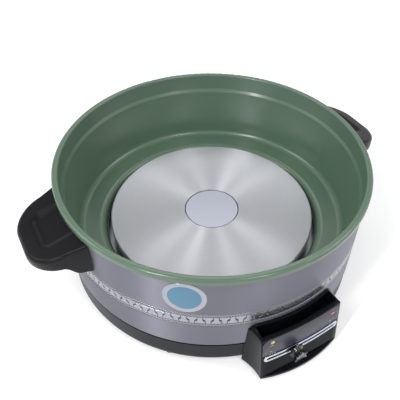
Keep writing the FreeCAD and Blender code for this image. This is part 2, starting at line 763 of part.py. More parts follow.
def panel_outline(sketch):
    half = s.faceHalf - s.plateInset
    outline(sketch, [
        (-half, s.panelFoot),
        (half, s.panelFoot),
        (half, s.panelTop - s.panelCorner),
        (half - s.panelCorner, s.panelTop, s.panelCorner, 1),
        (-half + s.panelCorner, s.panelTop),
        (-half, s.panelTop - s.panelCorner, s.panelCorner, 1),
    ])
    for x, z in ((s.lampX, s.lampZ), (s.standbyX, s.standbyZ)):
        circle(sketch, x, z, s.lampRadius)


panel_block = face_block("PanelBlock", panel_outline)
panel_sheet = curved_sheet("PanelSheet", s.slotHeight, s.faceTop, s.stemFit, s.stemFit + s.panelWall)
common("face_plate", panel_block, panel_sheet)


def trim_outline(sketch):
    stadium(sketch, 0, s.slotHeight, slot_length + s.trimEdge * 2, s.trimWidth)
    stadium(sketch, 0, s.slotHeight, slot_length, s.slotWidth)


trim_block = face_block("TrimBlock", trim_outline)
trim_sheet = curved_sheet("TrimSheet", s.slotHeight - s.trimWidth, s.slotHeight + s.trimWidth, s.stemFit,
                          s.stemFit + s.panelWall * 2)
common("slot_trim", trim_block, trim_sheet)

# Knob and its slider: they travel along the slot together.
knob = start_body("Knob")
face_fall = (s.faceTop - s.slotHeight + s.knobHeight) / 8
knob_back = s.faceTopReach + s.faceBulge + face_fall + s.panelWall * 2 + s.seat
sketch = start_sketch(knob, "KnobOutline", "XZ_Plane", knob_back)
half = s.knobWidth / 2
low_z = s.slotHeight - s.knobHeight / 2
outline(sketch, [
    (s.knobRest - half, low_z),
    (s.knobRest + half, low_z),
    (s.knobRest + half, low_z + s.knobHeight),
    (s.knobRest, low_z + s.knobHeight + s.pointerHeight),
    (s.knobRest - half, low_z + s.knobHeight),
])
feature(knob, "Pad", "KnobPad", sketch, Length=s.knobDepth, TaperAngle=-12.0)
keep(knob, "control_knob")

slider = start_body("Slider")
block_front = cavity_reach - s.seat
block_back = block_front - s.blockDepth
sketch = start_sketch(slider, "BlockOutline", "XZ_Plane", block_back)
half = s.faceHalf - cavity_side - s.knobTravel / 2 - s.slotPlay
rectangle(sketch, s.knobRest - half, s.slotHeight - s.blockHeight / 2,
          s.knobRest + half, s.slotHeight + s.blockHeight / 2)
feature(slider, "Pad", "Block", sketch, Length=s.blockDepth)
sketch = start_sketch(slider, "NeckOutline", "XZ_Plane", block_back)
half = s.neckLength / 2
rectangle(sketch, s.knobRest - half, s.slotHeight - s.neckWidth / 2,
          s.knobRest + half, s.slotHeight + s.neckWidth / 2)
feature(slider, "Pad", "Neck", sketch, Length=knob_back - block_back)
sketch = start_sketch(slider, "TongueOutline", "XY_Plane", s.slotHeight - s.blockHeight / 2)
half = s.pinRadius + s.mouldWall / 2
rectangle(sketch, s.knobRest - half, -block_back, s.knobRest + half, -s.pinReach + s.pinRadius)
feature(slider, "Pad", "Tongue", sketch, Length=s.mouldWall)
sketch = start_sketch(slider, "PinOutline", "XY_Plane", s.slotHeight - s.blockHeight / 2)
circle(sketch, s.knobRest, -s.pinReach, s.pinRadius)
pin_length = s.slotHeight - s.blockHeight / 2 - s.armHeight + s.armWall
feature(slider, "Pad", "Pin", sketch, Length=pin_length, Reversed=True)
keep(slider, "knob_slider")

# Thermostat under the plate: a ceramic body, its spindle and the forked arm that the slider's pin swings.
arm_span = s.pinReach - s.pivotReach
arm_turn = math.degrees(math.atan2(float(s.knobRest), float(arm_span)))
arm = start_body("ForkArm")
sketch = start_sketch(arm, "ArmOutline", "XY_Plane", s.armHeight - s.armWall)
fork_in = s.pinRadius + s.forkPlay
fork_out = fork_in + s.forkWall
fork_root = arm_span - s.pinRadius * 3.5
fork_tip = arm_span + s.pinRadius * 4.4
outline(sketch, [
    (fork_out, -fork_root),
    (s.armWidth / 2, -s.spindleRadius),
    (s.armWidth / 2, s.spindleRadius),
    (-s.armWidth / 2, s.spindleRadius),
    (-s.armWidth / 2, -s.spindleRadius),
    (-fork_out, -fork_root),
    (-fork_out, -fork_tip),
    (-fork_in, -fork_tip),
    (-fork_in, -fork_root - s.forkWall),
    (fork_in, -fork_root - s.forkWall),
    (fork_in, -fork_tip),
    (fork_out, -fork_tip),
])
circle(sketch, 0, 0, s.spindleRadius / 2)
feature(arm, "Pad", "ArmPlate", sketch, Length=s.armWall)
pivot = FreeCAD.Vector(0, -float(s.pivotReach), 0)
arm.Placement = FreeCAD.Placement(pivot, FreeCAD.Rotation(up, arm_turn))
arm.setExpression("Placement.Base.y", (-s.pivotReach).text)
keep(arm, "fork_arm")

spindle = start_body("Spindle")
arm_top = s.armHeight
spindle_top = s.shieldFloor + s.thermostatHeight / 2
turn(spindle, "SpindleRod", [
    (0, arm_top - s.armWall * 2),
    (s.spindleRadius / 2, arm_top - s.armWall * 2),
    (s.spindleRadius / 2, arm_top),
    (s.spindleRadius, arm_top),
    (s.spindleRadius, shield_low - s.seat),
    (s.spindleRadius / 2, shield_low - s.seat),
    (s.spindleRadius / 2, spindle_top),
    (0, spindle_top),
])
spindle.Placement = FreeCAD.Placement(pivot, FreeCAD.Rotation())
spindle.setExpression("Placement.Base.y", (-s.pivotReach).text)
keep(spindle, "thermostat_spindle")


# Thermostat body: a ceramic block on the heat shield with a bore for the spindle.
thermostat = start_body("Thermostat")
sketch = start_sketch(thermostat, "BlockOutline", "XY_Plane", s.shieldFloor)
half_x, half_y = s.thermostatWidth / 2, s.thermostatLength / 2
rectangle(sketch, -half_x, -s.pivotReach - half_y, half_x, -s.pivotReach + half_y)
circle(sketch, 0, -s.pivotReach, s.spindleRadius / 2 + s.stemFit)
feature(thermostat, "Pad", "Block", sketch, Length=s.thermostatHeight)
keep(thermostat, "thermostat_body")

# The spindle passes the heat shield in a clear hole.
sketch = start_sketch(shield, "SpindleHole", "XY_Plane", shield_low)
circle(sketch, 0, -s.pivotReach, s.spindleRadius / 2 + s.seat)
feature(shield, "Pocket", "SpindleHoleCut", sketch, Length=s.shieldWall, Reversed=True)

# Handles: moulded grips, open below, with a shallow thumb dish on the sloping top.
grip = start_body("RightGrip")


def grip_plan(sketch, shrink, root_reach, root_half):
    """The grip's outline from above, drawn in from its edge by shrink."""
    half = s.gripHalf - shrink
    reach = s.gripReach - shrink
    corner = s.gripCorner - shrink
    outline(sketch, [
        (root_reach, -root_half),
        (reach - corner, -half),
        (reach, -half + corner, corner, 1),
        (reach, half - corner),
        (reach - corner, half, corner, 1),
        (root_reach, root_half),
    ])


inner_reach = s.drumRadius * 0.9
sketch = start_sketch(grip, "GripPlan", "XY_Plane", s.gripFoot)
grip_plan(sketch, 0, inner_reach, s.gripRootHalf)
feature(grip, "Pad", "GripPad", sketch, Length=s.gripTop - s.gripFoot)
sketch = start_sketch(grip, "TopSlope", "XZ_Plane")
outline(sketch, [
    (s.drumRadius - s.gripFall / 2, s.rimHeight),
    (s.drumRadius - s.gripFall / 2, s.gripTop),
    (s.gripReach + s.gripWall, s.gripTop - s.gripFall),
    (s.gripReach + s.gripWall, s.rimHeight),
])
feature(grip, "Pocket", "TopSlopeCut", sketch, Length=s.rimRadius * 2, Midplane=True)
sketch = start_sketch(grip, "UnderCurve", "XZ_Plane")
outline(sketch, [
    (s.gripRootReach - s.gripWall / 2, s.gripFoot - s.gripWall),
    (s.gripReach + s.gripWall, s.gripFoot - s.gripWall),
    (s.gripReach + s.gripWall, s.gripTipFoot),
    (s.gripRootReach + s.gripWall * 2, s.gripTipFoot),
    (s.gripRootReach - s.gripWall / 2, s.gripFoot, s.gripWall * 4, 1),
])
feature(grip, "Pocket", "UnderCurveCut", sketch, Length=s.rimRadius * 2, Midplane=True)
sketch = start_sketch(grip, "DrumSpace", "XZ_Plane")
rectangle(sketch, 0, 0, s.drumRadius, s.rimHeight)
feature(grip, "Groove", "DrumCut", sketch, ReferenceAxis=(sketch, ["V_Axis"]), Angle=360.0)


def tip_top(edge):
    """The outer top edge of the grip, along its sides, corners and front."""
    box = edge.BoundBox
    middle = edge.valueAt((edge.FirstParameter + edge.LastParameter) / 2)
    slope = float(s.gripFall / (s.gripReach + s.gripWall - s.drumRadius + s.gripFall / 2))
    level = float(s.gripTop) - slope * (middle.x - float(s.drumRadius - s.gripFall / 2))
    outward = math.hypot(middle.x, middle.y) > float(s.drumRadius) + 2
    return outward and abs(middle.z - level) < 0.05 and box.XLength + box.YLength > 1


round_edges(grip, "TopEdge", s.gripWall * 0.8, tip_top)
sketch = start_sketch(grip, "FingerHollow", "XY_Plane", s.gripFoot - s.gripWall)
grip_plan(sketch, s.gripWall, s.gripRootReach + s.gripWall, s.gripRootHalf - s.gripWall * 2.4)
hollow_top = s.gripTop - s.gripFall - s.gripWall
feature(grip, "Pocket", "FingerHollowCut", sketch, Length=hollow_top - s.gripFoot + s.gripWall, Reversed=True)
sketch = start_sketch(grip, "ScrewBores", "YZ_Plane")
for half in (s.gripScrewHalf, -s.gripScrewHalf):
    circle(sketch, half, s.gripScrewZ, s.screwRadius)
feature(grip, "Pocket", "ScrewBoreCut", sketch, Length=s.drumRadius + s.gripBite - s.gripWall, Reversed=True)
keep(grip, "right_handle")
left_grip = doc.addObject("Part::Mirroring", "LeftGrip")
left_grip.Source = grip
left_grip.Normal = FreeCAD.Vector(1, 0, 0)
keep(left_grip, "left_handle")

for side, name in ((1, "right"), (-1, "left")):
    screws = []
    for half in (s.gripScrewHalf, -s.gripScrewHalf):
        x = math.sqrt(float(drum_in) ** 2 - (abs(float(half)) + float(s.screwHead)) ** 2) - float(s.seat)
        reach = float(s.drumRadius + s.gripBite - s.gripWall - s.seat) - x
        screws.append(screw(x * side, half, s.gripScrewZ, (side, 0, 0), reach))
    group(name + "_handle_screws", screws)

# Feet, cover screws, flange screws.
feet, cover_screws, flange_screws = [], [], []
for i in range(4):
    x, y = spot(s.footPitch, 45 + 90 * i)
    pad = rod(s.footRadius, s.footHeight, x, y, 0)
    feet.append(pad.makeFillet(1.2, [edge for edge in pad.Edges if edge.BoundBox.ZMax < 0.01]))
    x, y = spot(s.coverScrewPitch, 90 * i + 22)
    cover_screws.append(screw(x, y, s.baseFoot - s.coverWall, (0, 0, 1), s.coverWall + s.baseWall - s.seat))
    x, y = spot(s.bossPitch, 45 + 90 * i)
    flange_screws.append(screw(x, y, s.drumFoot + s.drumWall, (0, 0, -1), s.drumWall + s.flangeBite - s.seat))
group("rubber_feet", feet)
group("cover_screws", cover_screws)
group("flange_screws", flange_screws)

# Lamp lenses: short domed studs set through the panel into blind seats in the face.
for label, name, x, z in (("heating_lamp_lens", "HeatingLamp", s.lampX, s.lampZ),
                          ("power_lamp_lens", "PowerLamp", s.standbyX, s.standbyZ)):
    seat_reach = face_reach(z) + s.faceBulge * (1 - x * x / (s.faceHalf * s.faceHalf)) - s.lampSeat
    sketch = start_sketch(housing, name + "Seat", "XZ_Plane", seat_reach)
    circle(sketch, x, z, s.lampRadius)
    feature(housing, "Pocket", name + "SeatCut", sketch, Length=s.faceTopReach, Reversed=True)
    lens = start_body(name)
    sketch = start_sketch(lens, name + "Circle", "XZ_Plane", seat_reach)
    circle(sketch, x, z, s.lampRadius - s.stemFit)
    feature(lens, "Pad", name + "Stud", sketch, Length=s.lampSeat + s.panelWall + s.seat)
    keep(lens, label)

# Appliance inlet at the back: an open shell with a flange against the base ring.
inlet = start_body("Inlet")
sketch = start_sketch(inlet, "InletFlange", "XZ_Plane", -s.baseRadius - s.inletWall)
rectangle(sketch, -s.inletFlange / 2, s.inletZ - s.inletHeight / 2 - s.inletWall, s.inletFlange / 2,
          s.inletZ + s.inletHeight / 2 + s.inletWall)
feature(inlet, "Pad", "Flange", sketch, Length=s.inletWall)
sketch = start_sketch(inlet, "InletShell", "XZ_Plane", -s.baseRadius)
rectangle(sketch, -s.inletWidth / 2, s.inletZ - s.inletHeight / 2,
          s.inletWidth / 2, s.inletZ + s.inletHeight / 2)
feature(inlet, "Pad", "Shell", sketch, Length=s.inletDepth)
sketch = start_sketch(inlet, "InletSocket", "XZ_Plane", -s.baseRadius - s.inletWall)
rectangle(sketch, -s.inletWidth / 2 + s.inletWall, s.inletZ - s.inletHeight / 2 + s.inletWall,
          s.inletWidth / 2 - s.inletWall, s.inletZ + s.inletHeight / 2 - s.inletWall)
feature(inlet, "Pocket", "Socket", sketch, Length=s.inletDepth - s.inletWall, Reversed=True)
keep(inlet, "power_inlet")

doc.recompute()
for obj in doc.Objects:
    if "Invalid" in obj.State or "Error" in obj.State:
        raise RuntimeError("%s is in state %s" % (obj.Label, obj.State))
for obj in nodes:
    if obj.Shape.isNull() or not obj.Shape.isValid():
        raise RuntimeError("%s has no valid shape" % obj.Label)
os.makedirs("parts", exist_ok=True)
for obj in nodes:
    obj.Shape.exportStep("parts/%s.step" % obj.Label)
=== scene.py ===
import math
import bpy
import bmesh
from mathutils import Matrix, Vector


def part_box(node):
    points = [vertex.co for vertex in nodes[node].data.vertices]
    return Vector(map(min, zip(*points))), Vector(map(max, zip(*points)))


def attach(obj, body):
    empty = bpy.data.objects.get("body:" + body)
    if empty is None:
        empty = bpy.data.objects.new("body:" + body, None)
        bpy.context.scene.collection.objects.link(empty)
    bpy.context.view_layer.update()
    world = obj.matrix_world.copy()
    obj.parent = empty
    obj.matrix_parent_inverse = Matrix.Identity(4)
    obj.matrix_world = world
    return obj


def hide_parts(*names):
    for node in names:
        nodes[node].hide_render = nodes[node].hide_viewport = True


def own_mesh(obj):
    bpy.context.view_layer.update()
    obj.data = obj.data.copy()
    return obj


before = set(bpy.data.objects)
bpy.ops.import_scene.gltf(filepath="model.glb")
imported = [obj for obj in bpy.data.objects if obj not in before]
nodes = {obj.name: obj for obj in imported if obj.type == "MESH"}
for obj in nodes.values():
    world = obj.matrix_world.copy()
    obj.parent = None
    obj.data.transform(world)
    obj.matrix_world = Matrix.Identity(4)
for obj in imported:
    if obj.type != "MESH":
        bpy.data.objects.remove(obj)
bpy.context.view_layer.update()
print("frame loaded,", len(nodes), "nodes")

# camera, at the photograph's viewing angle
viewpoint = {"place": (-0.2094, -0.3626, 0.4781), "tilt": 45.94, "roll": 1.08, "heading": -30.03, "lens": 46.13,
             "sensor": 36, "shift": -0.03, "nearest": 0.01}

cameraData = bpy.data.cameras.new("viewCamera")
cameraData.lens = viewpoint["lens"]
cameraData.sensor_width = viewpoint["sensor"]
cameraData.shift_x = viewpoint["shift"]
cameraData.clip_start = viewpoint["nearest"]
camera = bpy.data.objects.new("viewCamera", cameraData)
bpy.context.scene.collection.objects.link(camera)
aim = Matrix.Rotation(math.radians(viewpoint["heading"]), 4, "Z")
aim = aim @ Matrix.Rotation(math.radians(viewpoint["tilt"]), 4, "X")
aim = aim @ Matrix.Rotation(math.radians(viewpoint["roll"]), 4, "Z")
camera.matrix_world = Matrix.Translation(viewpoint["place"]) @ aim
bpy.context.scene.camera = camera
print("camera placed")


# small helpers for nodes, colours and meshes
def tint(red, green, blue):  # 0..255 as written in a paint program, to linear
    return tuple((c / 255 / 12.92) if c < 10.3 else ((c / 255 + 0.055) / 1.055) ** 2.4 for c in (red, green, blue))


def addNode(tree, kind, **settings):
    node = tree.nodes.new(kind)
    for key, value in settings.items():
        setattr(node, key, value)
    return node


def feed(tree, source, target):
    if isinstance(source, bpy.types.NodeSocket):
        tree.links.new(source, target)
    else:
        target.default_value = source


def calc(tree, operation, first, second=0.0):
    node = addNode(tree, "ShaderNodeMath", operation=operation)
    feed(tree, first, node.inputs[0])
    feed(tree, second, node.inputs[1])
    return node.outputs[0]


def spread(tree, value, low, high):  # 0..1 to low..high
    node = addNode(tree, "ShaderNodeMapRange")
    feed(tree, value, node.inputs["Value"])
    feed(tree, low, node.inputs["To Min"])
    feed(tree, high, node.inputs["To Max"])
    return node.outputs["Result"]


def shaded(tree, colour, amount):  # a colour made lighter or darker
    node = addNode(tree, "ShaderNodeVectorMath", operation="SCALE")
    feed(tree, colour, node.inputs[0])
    feed(tree, amount, node.inputs["Scale"])
    return node.outputs[0]


def startGroup(name, inputs, outputs):
    group = bpy.data.node_groups.new(name, "ShaderNodeTree")
    for label, kind, value in inputs:
        socket = group.interface.new_socket(label, in_out="INPUT", socket_type=kind)
        if value is not None:
            socket.default_value = value
    for label, kind in outputs:
        group.interface.new_socket(label, in_out="OUTPUT", socket_type=kind)
    return group, group.nodes.new("NodeGroupInput"), group.nodes.new("NodeGroupOutput")


numberKind, colourKind, vectorKind = "NodeSocketFloat", "NodeSocketColor", "NodeSocketVector"
finishOutputs = [("Colour", colourKind), ("Roughness", numberKind), ("Normal", vectorKind)]


def closeGroup(group, outside, colour, roughness, height, distance):
    bump = addNode(group, "ShaderNodeBump")
    bump.inputs["Strength"].default_value = 1.0
    feed(group, distance, bump.inputs["Distance"])
    feed(group, height, bump.inputs["Height"])
    feed(group, colour, outside.inputs["Colour"])
    feed(group, roughness, outside.inputs["Roughness"])
    feed(group, bump.outputs["Normal"], outside.inputs["Normal"])
    return group


# moulded or sprayed surface: fine grain, slow cloudiness in colour and gloss
def makeGrainGroup():
    group, inside, outside = startGroup("surfaceGrain", [
        ("Place", vectorKind, None), ("Colour", colourKind, (0.5, 0.5, 0.5, 1)), ("Colour Spread", numberKind, 0.1),
        ("Roughness", numberKind, 0.4), ("Roughness Spread", numberKind, 0.08), ("Grain Scale", numberKind, 1500.0),
        ("Grain Height", numberKind, 0.00002)], finishOutputs)
    cloud = addNode(group, "ShaderNodeTexNoise")
    cloud.inputs["Scale"].default_value = 18
    cloud.inputs["Detail"].default_value = 4
    fine = addNode(group, "ShaderNodeTexNoise")
    fine.inputs["Detail"].default_value = 3
    for node in (cloud, fine):
        feed(group, inside.outputs["Place"], node.inputs["Vector"])
    feed(group, inside.outputs["Grain Scale"], fine.inputs["Scale"])
    spanLow = calc(group, "SUBTRACT", 1.0, inside.outputs["Colour Spread"])
    spanHigh = calc(group, "ADD", 1.0, inside.outputs["Colour Spread"])
    cloudShare = calc(group, "MULTIPLY", cloud.outputs[0], 0.7)
    blend = calc(group, "ADD", cloudShare, calc(group, "MULTIPLY", fine.outputs[0], 0.3))
    colour = shaded(group, inside.outputs["Colour"], spread(group, blend, spanLow, spanHigh))
    lowGloss = calc(group, "SUBTRACT", inside.outputs["Roughness"], inside.outputs["Roughness Spread"])
    highGloss = calc(group, "ADD", inside.outputs["Roughness"], inside.outputs["Roughness Spread"])
    gloss = spread(group, cloud.outputs[0], lowGloss, highGloss)
    return closeGroup(group, outside, colour, gloss, fine.outputs[0], inside.outputs["Grain Height"])


# grain that runs round the axis: brushed sheet and turned faces
def makeRoundGrainGroup():
    group, inside, outside = startGroup("roundGrain", [
        ("Place", vectorKind, None), ("Colour", colourKind, (0.5, 0.5, 0.5, 1)), ("Colour Spread", numberKind, 0.15),
        ("Roughness", numberKind, 0.3), ("Roughness Spread", numberKind, 0.08), ("Line Scale", numberKind, 900.0),
        ("Line Height", numberKind, 0.00002), ("Ring Pitch", numberKind, 0.001), ("Ring Height", numberKind, 0.0)],
        finishOutputs)
    parts = addNode(group, "ShaderNodeSeparateXYZ")
    feed(group, inside.outputs["Place"], parts.inputs[0])
    across = calc(group, "POWER", parts.outputs[0], 2.0)
    along = calc(group, "POWER", parts.outputs[1], 2.0)
    reach = calc(group, "SQRT", calc(group, "ADD", across, along))
    turn = calc(group, "ARCTAN2", parts.outputs[1], parts.outputs[0])
    level = calc(group, "ADD", reach, parts.outputs[2])
    spot = addNode(group, "ShaderNodeCombineXYZ")
    feed(group, calc(group, "MULTIPLY", level, inside.outputs["Line Scale"]), spot.inputs[0])
    feed(group, calc(group, "MULTIPLY", turn, 3.0), spot.inputs[1])
    lines = addNode(group, "ShaderNodeTexNoise")
    lines.inputs["Scale"].default_value = 1.0
    lines.inputs["Detail"].default_value = 3
    feed(group, spot.outputs[0], lines.inputs["Vector"])
    beat = calc(group, "DIVIDE", calc(group, "MULTIPLY", reach, 6.28318), inside.outputs["Ring Pitch"])
    rings = calc(group, "MULTIPLY", calc(group, "SINE", beat), inside.outputs["Ring Height"])
    height = calc(group, "ADD", calc(group, "MULTIPLY", lines.outputs[0], inside.outputs["Line Height"]), rings)
    spanLow = calc(group, "SUBTRACT", 1.0, inside.outputs["Colour Spread"])
    spanHigh = calc(group, "ADD", 1.0, inside.outputs["Colour Spread"])
    colour = shaded(group, inside.outputs["Colour"], spread(group, lines.outputs[0], spanLow, spanHigh))
    lowGloss = calc(group, "SUBTRACT", inside.outputs["Roughness"], inside.outputs["Roughness Spread"])
    highGloss = calc(group, "ADD", inside.outputs["Roughness"], inside.outputs["Roughness Spread"])
    gloss = spread(group, lines.outputs[0], lowGloss, highGloss)
    return closeGroup(group, outside, colour, gloss, height, 1.0)


grainGroup = makeGrainGroup()
roundGrainGroup = makeRoundGrainGroup()


def startMaterial(name, metallic=0.0, coat=0.0, coatRoughness=0.05, anisotropic=0.0, specular=0.5):
    material = bpy.data.materials.new(name)
    material.use_nodes = True
    tree = material.node_tree
    shader = tree.nodes["Principled BSDF"]
    shader.inputs["Metallic"].default_value = metallic
    shader.inputs["Coat Weight"].default_value = coat
    shader.inputs["Coat Roughness"].default_value = coatRoughness
    shader.inputs["Anisotropic"].default_value = anisotropic
    shader.inputs["Specular IOR Level"].default_value = specular
    return material, tree, shader


def dress(tree, shader, group, values):
    use = addNode(tree, "ShaderNodeGroup", node_tree=group)
    place = addNode(tree, "ShaderNodeTexCoord")
    tree.links.new(place.outputs["Object"], use.inputs["Place"])
    for label, value in values.items():
        use.inputs[label].default_value = value
    tree.links.new(use.outputs["Colour"], shader.inputs["Base Color"])
    tree.links.new(use.outputs["Roughness"], shader.inputs["Roughness"])
    tree.links.new(use.outputs["Normal"], shader.inputs["Normal"])


def plastic(name, colour, roughness, grain=1500.0, height=0.00001, coat=0.0, specular=0.5, mottle=0.08,
            coatRoughness=0.05):
    material, tree, shader = startMaterial(name, coat=coat, specular=specular, coatRoughness=coatRoughness)
    dress(tree, shader, grainGroup, {
        "Colour": (*colour, 1), "Colour Spread": mottle, "Roughness": roughness, "Roughness Spread": roughness * 0.15,
        "Grain Scale": grain, "Grain Height": height})
    return material


def metal(name, colour, roughness, anisotropic=0.0, lines=900.0, lineHeight=0.000004, pitch=0.001, ringHeight=0.0,
          mottle=0.06, gloss=0.05):
    material, tree, shader = startMaterial(name, metallic=1.0, anisotropic=anisotropic)
    dress(tree, shader, roundGrainGroup, {
        "Colour": (*colour, 1), "Colour Spread": mottle, "Roughness": roughness, "Roughness Spread": gloss,
        "Line Scale": lines, "Line Height": lineHeight, "Ring Pitch": pitch, "Ring Height": ringHeight})
    if anisotropic:
        shader.inputs["Anisotropic Rotation"].default_value = 0.25  # gloss stretches across the grain
        tangent = addNode(tree, "ShaderNodeTangent", direction_type="RADIAL", axis="Z")
        tree.links.new(tangent.outputs[0], shader.inputs["Tangent"])
    return material


# finishes of the record's slots
finishes = {
    "green_coating": plastic("greenCoating", tint(88, 112, 92), 0.30, grain=900, height=0.000012, coat=0.35,
                             coatRoughness=0.16, mottle=0.04),
    "brushed_steel": metal("brushedSteel", tint(128, 128, 139), 0.42, anisotropic=0.95, lines=1400,
                           lineHeight=0.000002, gloss=0.03),
    "cast_plate": metal("turnedPlate", tint(200, 201, 206), 0.44, anisotropic=0.9, lines=500, lineHeight=0.000003,
                        pitch=0.0011, ringHeight=0.00001),
    "sensor_cap": metal("satinCap", tint(184, 186, 198), 0.42, lines=300, lineHeight=0.0),
    "black_base": plastic("baseBlack", tint(29, 31, 40), 0.36, specular=0.14),
    "handle_black": plastic("gripBlack", tint(17, 17, 20), 0.34, grain=1800, height=0.00001, specular=0.18),
    "housing_black": plastic("housingBlack", tint(16, 17, 22), 0.18, height=0.000001, specular=0.1),
    "panel_grey": plastic("panelGrey", tint(60, 60, 70), 0.38, grain=2500, height=0.000006),
    "knob_black": plastic("knobBlack", tint(16, 16, 19), 0.14, height=0.000002, coat=0.4),
    "chrome_trim": metal("trimChrome", tint(196, 202, 212), 0.16, lineHeight=0.0),
    "cover_steel": metal("coverSteel", tint(150, 152, 156), 0.42, lines=200),
    "sheet_steel": metal("sheetSteel", tint(160, 162, 166), 0.38, lines=200),
    "fastener_steel": metal("fastenerSteel", tint(176, 177, 180), 0.30, lines=600),
    "element_sheath": metal("elementSheath", tint(92, 90, 88), 0.45, lines=500),
    "thermostat_ceramic": plastic("thermostatCeramic", tint(222, 216, 202), 0.6, grain=1200, height=0.00003),
    "rubber_black": plastic("footRubber", tint(26, 26, 27), 0.75, grain=1600, height=0.00004),
    "inlet_black": plastic("inletBlack", tint(24, 24, 26), 0.4, height=0.00001),
    "amber_lens": plastic("amberLens", tint(206, 190, 60), 0.2, coat=0.6),
    "red_lens": plastic("redLens", tint(170, 52, 48), 0.2, coat=0.6),
}
for node in nodes.values():
    for index, used in enumerate(node.data.materials):
        node.data.materials[index] = finishes[used.name.split(".")[0]]
# band ground: the drum steel painted much darker, as painted shade between the raised keys
paintedShadeGround = metal("bandGround", tint(78, 78, 84), 0.5, lines=1400)
# raised keys and rope rows: the same steel painted lighter than the drum, as painted highlight
paintedHighlightRelief = metal("bandRelief", tint(168, 168, 176), 0.34, lines=1400, lineHeight=0.000002)
badgeRingFinish = metal("badgeRing", tint(168, 170, 178), 0.3, lines=300)
badgeFaceFinish = plastic("badgeFace", tint(74, 128, 158), 0.3, coat=0.2, height=0.0)
blueMarkFinish = plastic("blueMark", tint(58, 92, 170), 0.5, height=0.0)
whiteMarkFinish = plastic("whiteMark", tint(205, 206, 212), 0.5, height=0.0)
seamFinish = plastic("seamBlack", tint(24, 24, 28), 0.6, height=0.0)
print("finishes made:", len(finishes))


def makePiece(name, bm, finish, body="cooker", stands=(), sharp=None):
    mesh = bpy.data.meshes.new(name)
    bm.to_mesh(mesh)
    bm.free()
    mesh.shade_smooth()
    if sharp is not None:
        mesh.set_sharp_from_angle(angle=math.radians(sharp))
    piece = bpy.data.objects.new(name, mesh)
    bpy.context.scene.collection.objects.link(piece)
    mesh.materials.append(finish)
    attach(piece, body)
    if stands:
        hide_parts(*stands)
    return piece


def loft(bm, rings, capped=True):  # quads between rings of equal length
    rows = [[bm.verts.new(p) for p in ring] for ring in rings]
    count = len(rows[0])
    for low, high in zip(rows, rows[1:]):
        for i in range(count):
            j = (i + 1) % count
            bm.faces.new((low[i], low[j], high[j], high[i]))
    if capped:
        bm.faces.new(list(reversed(rows[0])))
        bm.faces.new(rows[-1])


def flatPlate(bm, outline, low, high, chamfer=0.0):  # an outline in (x, z), raised towards y
    count = len(outline)
    inner = []
    for i in range(count):
        before, here, after = Vector(outline[i - 1]), Vector(outline[i]), Vector(outline[(i + 1) % count])
        a, b = (here - before).normalized(), (after - here).normalized()
        normalA, normalB = Vector((-a.y, a.x)), Vector((-b.y, b.x))
        lean = normalA + normalB
        inner.append(here + lean * (chamfer / max(0.2, 1 + normalA.dot(normalB))))
    rings = [[(p[0], low, p[1]) for p in outline], [(p[0], high - chamfer, p[1]) for p in outline]]
    if chamfer:
        rings.append([(p.x, high, p.y) for p in inner])
    loft(bm, rings)


# key band round the drum: interlocking T fret between two rope rows, wrapped by Geometry Nodes; the raised steel
# carries a painted highlight and the ground between it painted shade
band = {"radius": 0.1616, "relief": 0.00038, "sunk": -0.0001, "foot": 0.0686, "height": 0.0177, "keys": 68,
        "rope": 0.0034, "ropeCount": 380, "ropeLean": 1.3, "ropeHalf": 0.3, "ropeEdge": 0.0002, "gap": 0.0006,
        "bevel": 0.00022, "groundReach": (0.16155, 0.1617), "groundLevel": (0.0687, 0.0862), "groundSteps": 360}


def wrapTree(name):
    tree = bpy.data.node_groups.new(name, "GeometryNodeTree")
    for label, kind, way in (("Geometry", "NodeSocketGeometry", "INPUT"), ("Count", "NodeSocketInt", "INPUT"),
                             ("Radius", "NodeSocketFloat", "INPUT"), ("Foot", "NodeSocketFloat", "INPUT"),
                             ("Finish", "NodeSocketMaterial", "INPUT"), ("Geometry", "NodeSocketGeometry", "OUTPUT")):
        tree.interface.new_socket(label, in_out=way, socket_type=kind)
    inside, outside = tree.nodes.new("NodeGroupInput"), tree.nodes.new("NodeGroupOutput")
    link = tree.links.new
    pitch = calc(tree, "DIVIDE", calc(tree, "MULTIPLY", inside.outputs["Radius"], 2 * math.pi), inside.outputs["Count"])
    step = addNode(tree, "ShaderNodeCombineXYZ")
    link(pitch, step.inputs[0])
    row = addNode(tree, "GeometryNodeMeshLine")
    link(inside.outputs["Count"], row.inputs["Count"])
    link(step.outputs[0], row.inputs["Offset"])
    copies = addNode(tree, "GeometryNodeInstanceOnPoints")
    link(row.outputs[0], copies.inputs["Points"])
    link(inside.outputs["Geometry"], copies.inputs["Instance"])
    solid = addNode(tree, "GeometryNodeRealizeInstances")
    link(copies.outputs[0], solid.inputs[0])
    place = addNode(tree, "GeometryNodeInputPosition")
    parts = addNode(tree, "ShaderNodeSeparateXYZ")
    link(place.outputs[0], parts.inputs[0])
    turn = calc(tree, "DIVIDE", parts.outputs[0], inside.outputs["Radius"])
    reach = calc(tree, "ADD", parts.outputs[1], inside.outputs["Radius"])
    bent = addNode(tree, "ShaderNodeCombineXYZ")
    link(calc(tree, "MULTIPLY", reach, calc(tree, "SINE", turn)), bent.inputs[0])
    link(calc(tree, "MULTIPLY", calc(tree, "MULTIPLY", reach, calc(tree, "COSINE", turn)), -1.0), bent.inputs[1])
    link(calc(tree, "ADD", parts.outputs[2], inside.outputs["Foot"]), bent.inputs[2])
    move = addNode(tree, "GeometryNodeSetPosition")
    link(solid.outputs[0], move.inputs["Geometry"])
    link(bent.outputs[0], move.inputs["Position"])
    paint = addNode(tree, "GeometryNodeSetMaterial")
    link(move.outputs[0], paint.inputs["Geometry"])
    link(inside.outputs["Finish"], paint.inputs["Material"])
    link(paint.outputs[0], outside.inputs[0])
    return tree


